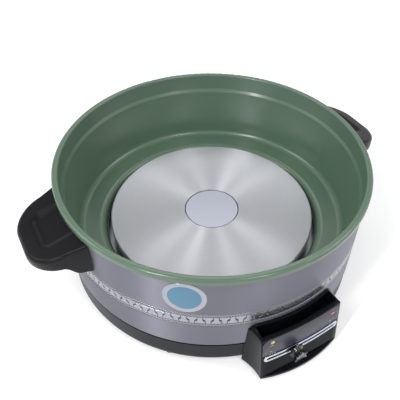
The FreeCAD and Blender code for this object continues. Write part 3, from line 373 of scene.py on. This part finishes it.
def wrapRound(name, bm, tree, count, foot, finish):
    mesh = bpy.data.meshes.new(name + "Unit")
    bm.to_mesh(mesh)
    bm.free()
    host = bpy.data.objects.new(name + "Unit", mesh)
    bpy.context.scene.collection.objects.link(host)
    wrap = host.modifiers.new("wrap", "NODES")
    wrap.node_group = tree
    sockets = {item.name: item.identifier for item in tree.interface.items_tree if item.in_out == "INPUT"}
    wrap[sockets["Count"]] = count
    wrap[sockets["Radius"]] = band["radius"]
    wrap[sockets["Foot"]] = foot
    wrap[sockets["Finish"]] = finish
    made = bpy.data.meshes.new_from_object(host.evaluated_get(bpy.context.evaluated_depsgraph_get()))
    bpy.data.objects.remove(host)
    piece = bpy.data.objects.new(name, made)
    made.name = name
    bpy.context.scene.collection.objects.link(piece)
    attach(piece, "cooker")


wrapNodes = wrapTree("wrapRoundDrum")
keyPitch = 2 * math.pi * band["radius"] / band["keys"]
keyHeight = band["height"] - 2 * band["rope"] - 2 * band["gap"]


def keyOutline(middle, flipped):
    w, h = keyPitch, keyHeight
    shape = [(-0.153, 0.0), (0.153, 0.0), (0.153, 0.54), (0.215, 0.54), (0.215, 0.67), (0.313, 0.67), (0.313, 1.0),
             (-0.313, 1.0), (-0.313, 0.67), (-0.215, 0.67), (-0.215, 0.54), (-0.153, 0.54)]
    points = [(middle * w + u * w, v * h) for u, v in shape]
    if flipped:
        points = [(2 * middle * w - x, h - z) for x, z in points]
    return points


keyUnit = bmesh.new()
for middle, flipped in ((0.25, False), (0.75, True)):
    flatPlate(keyUnit, keyOutline(middle, flipped), band["sunk"], band["relief"], band["bevel"])
bmesh.ops.recalc_face_normals(keyUnit, faces=keyUnit.faces)
keyFoot = band["foot"] + band["rope"] + band["gap"]
wrapRound("keyFretRow", keyUnit, wrapNodes, band["keys"], keyFoot, paintedHighlightRelief)

ropePitch = 2 * math.pi * band["radius"] / band["ropeCount"]
for name, foot in (("ropeRowLow", band["foot"]), ("ropeRowHigh", band["foot"] + band["height"] - band["rope"])):
    ropeUnit = bmesh.new()
    lean, half, edge = ropePitch * band["ropeLean"], ropePitch * band["ropeHalf"], band["ropeEdge"]
    flatPlate(ropeUnit, [(-half - lean / 2, edge), (half - lean / 2, edge), (half + lean / 2, band["rope"] - edge),
                         (-half + lean / 2, band["rope"] - edge)], band["sunk"], band["relief"], band["bevel"])
    bmesh.ops.recalc_face_normals(ropeUnit, faces=ropeUnit.faces)
    wrapRound(name, ropeUnit, wrapNodes, band["ropeCount"], foot, paintedHighlightRelief)

# ground ring behind the fret, in steel painted dark as painted shade
groundRing = bmesh.new()
rings = []
inReach, outReach = band["groundReach"]
lowLevel, highLevel = band["groundLevel"]
for reach, level in ((inReach, lowLevel), (outReach, lowLevel), (outReach, highLevel), (inReach, highLevel),
                     (inReach, lowLevel)):
    turns = [i * math.pi / 180 for i in range(band["groundSteps"])]
    rings.append([(reach * math.sin(turn), -reach * math.cos(turn), level) for turn in turns])
loft(groundRing, rings, capped=False)
bmesh.ops.remove_doubles(groundRing, verts=groundRing.verts, dist=1e-6)
bmesh.ops.recalc_face_normals(groundRing, faces=groundRing.faces)
makePiece("bandGround", groundRing, paintedShadeGround, sharp=40)
print("key band made")

# moulded grips: one wall swept round the outline, with a dished top
grip = {"drum": 0.16205, "rootHalf": 0.048, "half": 0.043, "reach": 0.2065, "corner": 0.031, "top": 0.128, "fall": 0.017,
        "foot": 0.0921, "tipFoot": 0.103, "wall": 0.004, "edge": 0.0034, "dishHalf": 0.025, "dishReach": 0.1925,
        "dishCorner": 0.011, "dishDepth": 0.0026, "dishEdge": 0.007, "steps": 120, "riseFrom": 0.166, "riseOver": 0.014,
        "footRound": 0.001}


def smooth(value):
    value = min(1.0, max(0.0, value))
    return value * value * (3 - 2 * value)


def gripOutline():
    corner, reach, half = grip["corner"], grip["reach"], grip["half"]
    rootX = math.sqrt(grip["drum"] ** 2 - grip["rootHalf"] ** 2)
    points = [Vector((rootX, -grip["rootHalf"]))]
    for i in range(25):
        angle = math.radians(-90 + i * 90 / 24)
        points.append(Vector((reach - corner + corner * math.cos(angle), -half + corner + corner * math.sin(angle))))
    points += [Vector((p.x, -p.y)) for p in reversed(points)]
    lengths = [0.0]
    for a, b in zip(points, points[1:]):
        lengths.append(lengths[-1] + (b - a).length)
    even, at = [], 0
    for i in range(grip["steps"] + 1):
        goal = lengths[-1] * i / grip["steps"]
        while at < len(points) - 2 and lengths[at + 1] < goal:
            at += 1
        part = (goal - lengths[at]) / max(1e-9, lengths[at + 1] - lengths[at])
        even.append(points[at].lerp(points[at + 1], part))
    return even


def gripTop(x, y):
    slope = grip["fall"] / (grip["reach"] + 0.004 - grip["drum"] + grip["fall"] / 2)
    level = grip["top"] - slope * (x - grip["drum"] + grip["fall"] / 2)
    overX = x - (grip["dishReach"] - grip["dishCorner"])
    overY = abs(y) - (grip["dishHalf"] - grip["dishCorner"])
    outside = math.hypot(max(overX, 0), max(overY, 0)) + min(max(overX, overY), 0) - grip["dishCorner"]
    return level - grip["dishDepth"] * smooth(-outside / grip["dishEdge"])


def gripFoot(x):
    return grip["foot"] + (grip["tipFoot"] - grip["foot"]) * smooth((x - grip["riseFrom"]) / grip["riseOver"])


def makeGrip(name, side, stands):
    outer = gripOutline()
    spans = len(outer) - 1
    rows = []
    for i, point in enumerate(outer):
        turn = math.asin(grip["rootHalf"] / grip["drum"]) * (2 * i / spans - 1)
        root = Vector((grip["drum"] * math.cos(turn), grip["drum"] * math.sin(turn)))
        inward = root - point
        room = inward.length
        inward = inward.normalized() if room > 1e-6 else Vector((-1, 0))
        section = []

        def put(depth, level):
            spot = point + inward * min(depth, room)
            section.append((spot.x, spot.y, level(spot.x, spot.y)))

        edge, curl = grip["edge"], grip["footRound"]
        for k in range(29, -1, -1):  # top, from the drum out to where the edge starts to round
            part = k / 29
            put(edge + (room - edge) * part if room > edge else room * part, gripTop)
        for k in range(1, 7):
            angle = math.radians(15 * k)
            put(edge * (1 - math.sin(angle)), lambda x, y, a=angle: gripTop(x, y) - edge * (1 - math.cos(a)))
        for k in range(5):
            angle = math.radians(22.5 * k)
            put(curl * (1 - math.cos(angle)), lambda x, y, a=angle: gripFoot(x) + curl * (1 - math.sin(a)))
        put(grip["wall"], lambda x, y: gripFoot(x))
        put(grip["wall"] + 0.0004, lambda x, y: gripTop(x, y) - grip["wall"] - 0.0015)
        put(grip["wall"] + 0.002, lambda x, y: gripTop(x, y) - grip["wall"])
        put((room + grip["wall"]) / 2 if room > grip["wall"] else room, lambda x, y: gripTop(x, y) - grip["wall"])
        put(room, lambda x, y: gripTop(x, y) - grip["wall"])
        rows.append([(x * side, y, z) for x, y, z in section])
    bm = bmesh.new()
    loft(bm, rows, capped=False)
    bmesh.ops.remove_doubles(bm, verts=bm.verts, dist=2e-6)
    bmesh.ops.dissolve_degenerate(bm, dist=1e-6, edges=bm.edges)
    bmesh.ops.recalc_face_normals(bm, faces=bm.faces)
    makePiece(name, bm, finishes["handle_black"], stands=stands, sharp=50)


makeGrip("rightGrip", 1, ("right_handle",))
makeGrip("leftGrip", -1, ("left_handle",))
print("grips made")


# moulded and pressed pieces get the small rounding that their edges have
def softenedCopy(nodeName, pieceName, width, segments, slot, reshape=None):
    bm = bmesh.new()
    bm.from_mesh(nodes[nodeName].data)
    bmesh.ops.remove_doubles(bm, verts=bm.verts, dist=2e-6)
    bmesh.ops.dissolve_limit(bm, angle_limit=math.radians(0.8), verts=bm.verts, edges=bm.edges)
    mesh = bpy.data.meshes.new(pieceName + "Raw")
    bm.to_mesh(mesh)
    bm.free()
    host = bpy.data.objects.new(pieceName + "Raw", mesh)
    bpy.context.scene.collection.objects.link(host)
    rounding = host.modifiers.new("edgeRounding", "BEVEL")
    rounding.width = width
    rounding.segments = segments
    rounding.limit_method = "ANGLE"
    rounding.angle_limit = math.radians(30)
    rounding.use_clamp_overlap = True
    made = bpy.data.meshes.new_from_object(host.evaluated_get(bpy.context.evaluated_depsgraph_get()))
    bpy.data.objects.remove(host)
    bm = bmesh.new()
    bm.from_mesh(made)
    if reshape:
        reshape(bm)
    makePiece(pieceName, bm, finishes[slot], stands=(nodeName,), sharp=32)


# the housing's rim sweeps down towards its ends, most of all beside the drum
sweep = {"floor": 0.0436, "from": 0.040, "to": 0.058, "front": -0.1860, "back": -0.1680, "fall": 0.42, "mesh": 0.0035,
         "meshFloor": 0.04, "rounds": 5}


def sweepRim(bm):
    for _ in range(sweep["rounds"]):
        long = [edge for edge in bm.edges
                if edge.calc_length() > sweep["mesh"] and max(v.co.z for v in edge.verts) > sweep["meshFloor"]]
        if not long:
            break
        bmesh.ops.subdivide_edges(bm, edges=long, cuts=1, use_grid_fill=True)
    bmesh.ops.triangulate(bm, faces=[face for face in bm.faces if len(face.verts) > 4])
    for vertex in bm.verts:
        x, y, z = vertex.co
        if z > sweep["floor"]:
            side = smooth((abs(x) - sweep["from"]) / (sweep["to"] - sweep["from"]))
            near = smooth((y - sweep["front"]) / (sweep["back"] - sweep["front"]))
            vertex.co.z = sweep["floor"] + (z - sweep["floor"]) * (1 - sweep["fall"] * side * near)


softenedCopy("control_housing", "housingShell", 0.0011, 3, "housing_black", sweepRim)
softenedCopy("face_plate", "panelSheet", 0.00018, 2, "panel_grey")
softenedCopy("slot_trim", "slotTrim", 0.00045, 3, "chrome_trim")
softenedCopy("power_inlet", "inletShell", 0.0005, 3, "inlet_black")
print("mouldings softened")

# slide knob: waisted grip with a pointer, lofted outwards from the slot
# sections are (depth, share of the full outline), the last two the dimple, and the outline is in millimetres
knob = {
    "centre": -0.0104, "level": 0.035, "steps": 6,
    "sections": [(0.0, 0.97), (0.0006, 1.0), (0.0016, 0.98), (0.0032, 0.84), (0.0050, 0.78), (0.0068, 0.80),
                 (0.0082, 0.90), (0.0091, 0.93), (0.0097, 0.90), (0.00995, 0.82), (0.0097, 0.62), (0.0094, 0.35)],
    "outline": [(-7.3, -4.3), (-4.0, -3.4), (0.0, -3.0), (4.0, -3.4), (7.3, -4.3), (6.0, -1.2), (5.9, 1.2), (7.0, 4.2),
                (3.9, 4.9), (1.9, 6.6), (0.0, 9.2), (-1.9, 6.6), (-3.9, 4.9), (-7.0, 4.2), (-5.9, 1.2), (-6.0, -1.2)],
}


def curveThrough(points, steps):  # closed smooth curve through the points
    made, count = [], len(points)
    for i in range(count):
        a, b, c, d = (Vector(points[(i + k) % count]) for k in (-1, 0, 1, 2))
        for k in range(steps):
            t = k / steps
            square, cube = 2 * a - 5 * b + 4 * c - d, 3 * b - a - 3 * c + d
            made.append(0.5 * ((2 * b) + (c - a) * t + square * t * t + cube * t ** 3))
    return made


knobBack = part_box("control_knob")[1].y
knobRing = curveThrough(knob["outline"], knob["steps"])
bm = bmesh.new()
rings = []
for depth, size in knob["sections"]:
    rings.append([(knob["centre"] + p.x * size / 1000, knobBack - depth, knob["level"] + p.y * size / 1000)
                  for p in knobRing])
loft(bm, rings)
bmesh.ops.recalc_face_normals(bm, faces=bm.faces)
makePiece("slideKnob", bm, finishes["knob_black"], "slider", ("control_knob",), 45)
print("knob made")

# printed marks on the panel, each a thin raised pad that follows the bowed face
panel = {"half": 0.046, "bulge": 0.003, "topReach": 0.174, "topLevel": 0.066, "slope": 7 / 58, "front": 0.00068,
         "ink": 0.00006, "base": 0.0005, "seamBase": -0.0003}
inkTop = panel["front"] + panel["ink"]


def facePoint(x, z, lift):
    radius = panel["half"] ** 2 / (2 * panel["bulge"]) + panel["bulge"] / 2
    bow = math.sqrt(radius ** 2 - x ** 2) - math.sqrt(radius ** 2 - panel["half"] ** 2)
    return (x, -(panel["topReach"] + panel["slope"] * (panel["topLevel"] - z) + bow + lift), z)


def addPad(bm, corners, base, top):
    low = [bm.verts.new(facePoint(x, z, base)) for x, z in corners]
    high = [bm.verts.new(facePoint(x, z, top)) for x, z in corners]
    bm.faces.new(list(reversed(low)))
    bm.faces.new(high)
    for i in range(len(corners)):
        j = (i + 1) % len(corners)
        bm.faces.new((low[i], low[j], high[j], high[i]))


def bar(x, z, width, height, slant=0.0):
    w, h = width / 2, height / 2
    return [(x - w - slant, z - h), (x + w - slant, z - h), (x + w + slant, z + h), (x - w + slant, z + h)]


scale = {"first": -0.0287, "last": 0.0290, "count": 10, "level": 0.0424, "width": 0.0034, "height": 0.0008,
         "slant": 0.0002}
blueMarks = bmesh.new()
for i in range(scale["count"]):
    x = scale["first"] + (scale["last"] - scale["first"]) * i / (scale["count"] - 1)
    addPad(blueMarks, bar(x, scale["level"], scale["width"], scale["height"], scale["slant"]), panel["base"], inkTop)
bmesh.ops.recalc_face_normals(blueMarks, faces=blueMarks.faces)
makePiece("scaleDashes", blueMarks, blueMarkFinish)

whiteMarks = bmesh.new()
for x in (-0.0372, -0.0345, -0.0318):
    addPad(whiteMarks, [(x - 0.0007, 0.0402), (x + 0.0007, 0.0402), (x, 0.0414)], panel["base"], inkTop)
for x, z, width in ((-0.0352, 0.0525, 0.0044), (-0.0362, 0.0446, 0.0026), (0.0335, 0.0447, 0.0022),
                    (0.0372, 0.0455, 0.0018)):
    addPad(whiteMarks, bar(x, z, width, 0.0005), panel["base"], inkTop)
bmesh.ops.recalc_face_normals(whiteMarks, faces=whiteMarks.faces)
makePiece("panelMarks", whiteMarks, whiteMarkFinish)

seams = bmesh.new()
for x, z, width, height in ((-0.0165, 0.0200, 0.0005, 0.0200), (0.0120, 0.0292, 0.0180, 0.0004),
                            (0.0120, 0.0232, 0.0180, 0.0004), (0.0030, 0.0262, 0.0004, 0.0060),
                            (0.0210, 0.0262, 0.0004, 0.0060)):
    addPad(seams, bar(x, z, width, height), panel["seamBase"], panel["ink"])
bmesh.ops.recalc_face_normals(seams, faces=seams.faces)
makePiece("housingSeams", seams, seamFinish)
print("panel marks made")

# plain oval badge on the drum
badge = {"turn": -37.9, "level": 0.1101, "wide": 0.0200, "tall": 0.0205, "ring": 0.78, "drum": 0.162, "steps": 72}


def badgeDisc(name, profile, finish):
    bm = bmesh.new()
    rings = []
    for size, lift in profile:
        ring = []
        for i in range(badge["steps"]):
            angle = 2 * math.pi * i / badge["steps"]
            turn = math.radians(badge["turn"]) + badge["wide"] * size * math.cos(angle) / badge["drum"]
            reach = badge["drum"] + lift
            level = badge["level"] + badge["tall"] * size * math.sin(angle)
            ring.append((reach * math.sin(turn), -reach * math.cos(turn), level))
        rings.append(ring)
    loft(bm, rings)
    bmesh.ops.recalc_face_normals(bm, faces=bm.faces)
    makePiece(name, bm, finish, sharp=35)


ringSize = badge["ring"]
badgeDisc("badgeRim", [(0.99, -0.0002), (1.0, 0.0002), (0.985, 0.0005), (0.955, 0.0006), (0.925, 0.0005), (0.91, 0.0003),
                       (ringSize + 0.05, 0.0003), (ringSize + 0.02, 0.0005), (ringSize, 0.0004),
                       (ringSize - 0.02, 0.0001)],
          badgeRingFinish)
badgeDisc("badgeFace", [(ringSize - 0.01, 0.0), (ringSize - 0.01, 0.0002), (0.6, 0.0004), (0.35, 0.0005),
                        (0.15, 0.00055)],
          badgeFaceFinish)
print("badge made")

# the coil spring, which shortens as the sensor is pressed, is copied here as it stands and carried with the sensor
spring = {"press": 0.003, "weld": 2e-6}
bm = bmesh.new()
bm.from_mesh(nodes["sensor_spring"].data)
bmesh.ops.remove_doubles(bm, verts=bm.verts, dist=spring["weld"])
coilSpring = makePiece("coilSpring", bm, finishes["fastener_steel"], "sensor", ("sensor_spring",), 40)
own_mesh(coilSpring)
print("spring made")

# three pins inside the appliance inlet
pins = {"places": ((-0.007, 0.0172), (0.0, 0.0212), (0.007, 0.0172)), "half": (0.002, 0.001), "from": 0.1435,
        "to": 0.1580}
pinOutline = ((-1, -0.6), (-0.8, -1), (0.8, -1), (1, -0.6), (1, 0.6), (0.8, 1), (-0.8, 1), (-1, 0.6))
bm = bmesh.new()
for x, z in pins["places"]:
    w, h = pins["half"]
    rings = []
    for y, size in ((pins["from"], 1.0), (pins["to"] - 0.0012, 1.0), (pins["to"] - 0.0004, 0.85), (pins["to"], 0.55)):
        rings.append([(x + dx * w * size, y, z + dz * h * size) for dx, dz in pinOutline])
    loft(bm, rings)
bmesh.ops.recalc_face_normals(bm, faces=bm.faces)
makePiece("inletPins", bm, finishes["fastener_steel"], sharp=40)

# floor, world and lamps
stageLook = {"floorColour": 0.82, "floorGlow": 0.34, "floorHalf": 6, "floorLevel": -0.0003, "worldLight": 0.42,
             "worldSeen": 1.0, "overhead": 0.45, "skyColour": (0.97, 0.98, 1, 1)}


def seenMask(tree):  # 1 for what the camera, metal and glass see
    path = addNode(tree, "ShaderNodeLightPath")
    mixed = calc(tree, "MAXIMUM", path.outputs["Is Camera Ray"], path.outputs["Is Glossy Ray"])
    return calc(tree, "MAXIMUM", mixed, path.outputs["Is Transmission Ray"])


floorMaterial = bpy.data.materials.new("paleFloor")
floorMaterial.use_nodes = True
floorTree = floorMaterial.node_tree
floorTree.nodes.remove(floorTree.nodes["Principled BSDF"])
matt = addNode(floorTree, "ShaderNodeBsdfDiffuse")
matt.inputs["Color"].default_value = (stageLook["floorColour"],) * 3 + (1,)
glow = addNode(floorTree, "ShaderNodeEmission")
feed(floorTree, calc(floorTree, "MULTIPLY", seenMask(floorTree), stageLook["floorGlow"]), glow.inputs["Strength"])
both = addNode(floorTree, "ShaderNodeAddShader")
floorTree.links.new(matt.outputs[0], both.inputs[0])
floorTree.links.new(glow.outputs[0], both.inputs[1])
floorTree.links.new(both.outputs[0], floorTree.nodes["Material Output"].inputs["Surface"])

floorMesh = bpy.data.meshes.new("studioFloor")
wide, low = stageLook["floorHalf"], stageLook["floorLevel"]
corners = [(-wide, -wide, low), (wide, -wide, low), (wide, wide, low), (-wide, wide, low)]
floorMesh.from_pydata(corners, [], [(0, 1, 2, 3)])
floorMesh.materials.append(floorMaterial)
studioFloor = bpy.data.objects.new("studioFloor", floorMesh)
bpy.context.scene.collection.objects.link(studioFloor)

# world: white at the horizon, dimmer overhead, softer still for the light that it gives
world = bpy.data.worlds.new("studioWorld")
bpy.context.scene.world = world
world.use_nodes = True
worldTree = world.node_tree
sky = worldTree.nodes["Background"]
sky.inputs["Color"].default_value = stageLook["skyColour"]
facing = addNode(worldTree, "ShaderNodeTexCoord")
parts = addNode(worldTree, "ShaderNodeSeparateXYZ")
worldTree.links.new(facing.outputs["Generated"], parts.inputs[0])
climb = addNode(worldTree, "ShaderNodeMapRange", interpolation_type="SMOOTHSTEP")
worldTree.links.new(parts.outputs[2], climb.inputs["Value"])
for label, value in (("From Min", 0.1), ("From Max", 0.6), ("To Min", stageLook["worldSeen"]),
                     ("To Max", stageLook["overhead"])):
    climb.inputs[label].default_value = value
seen = calc(worldTree, "MULTIPLY", seenMask(worldTree), climb.outputs["Result"])
unseen = calc(worldTree, "MULTIPLY", calc(worldTree, "SUBTRACT", 1.0, seenMask(worldTree)), stageLook["worldLight"])
feed(worldTree, calc(worldTree, "ADD", seen, unseen), sky.inputs["Strength"])

# softboxes by compass turn and height, in degrees, round the pot
lampDistance, lampAim = 1.4, Vector((0, 0, 0.07))
lamps = {
    "rightSoftbox": {"turn": 68, "climb": 40, "size": (0.55, 0.7), "power": 4},
    "frontSoftbox": {"turn": 4, "climb": 50, "size": (0.12, 0.8), "power": 4},
    "leftStrip": {"turn": -65, "climb": 42, "size": (0.08, 0.9), "power": 9},
    "leftSoftbox": {"turn": -118, "climb": 40, "size": (0.4, 0.7), "power": 4},
    "backSoftbox": {"turn": 150, "climb": 55, "size": (0.8, 0.5), "power": 2.5},
}
for name, lamp in lamps.items():
    data = bpy.data.lights.new(name, "AREA")
    data.shape = "RECTANGLE"
    data.size, data.size_y = lamp["size"]
    data.energy = lamp["power"]
    made = bpy.data.objects.new(name, data)
    bpy.context.scene.collection.objects.link(made)
    turn, climbing = math.radians(lamp["turn"]), math.radians(lamp["climb"])
    way = Vector((math.sin(turn) * math.cos(climbing), -math.cos(turn) * math.cos(climbing), math.sin(climbing)))
    made.location = way * lampDistance + lampAim
    made.rotation_euler = way.to_track_quat("Z", "Y").to_euler()

bpy.context.scene.view_settings.view_transform = "Standard"
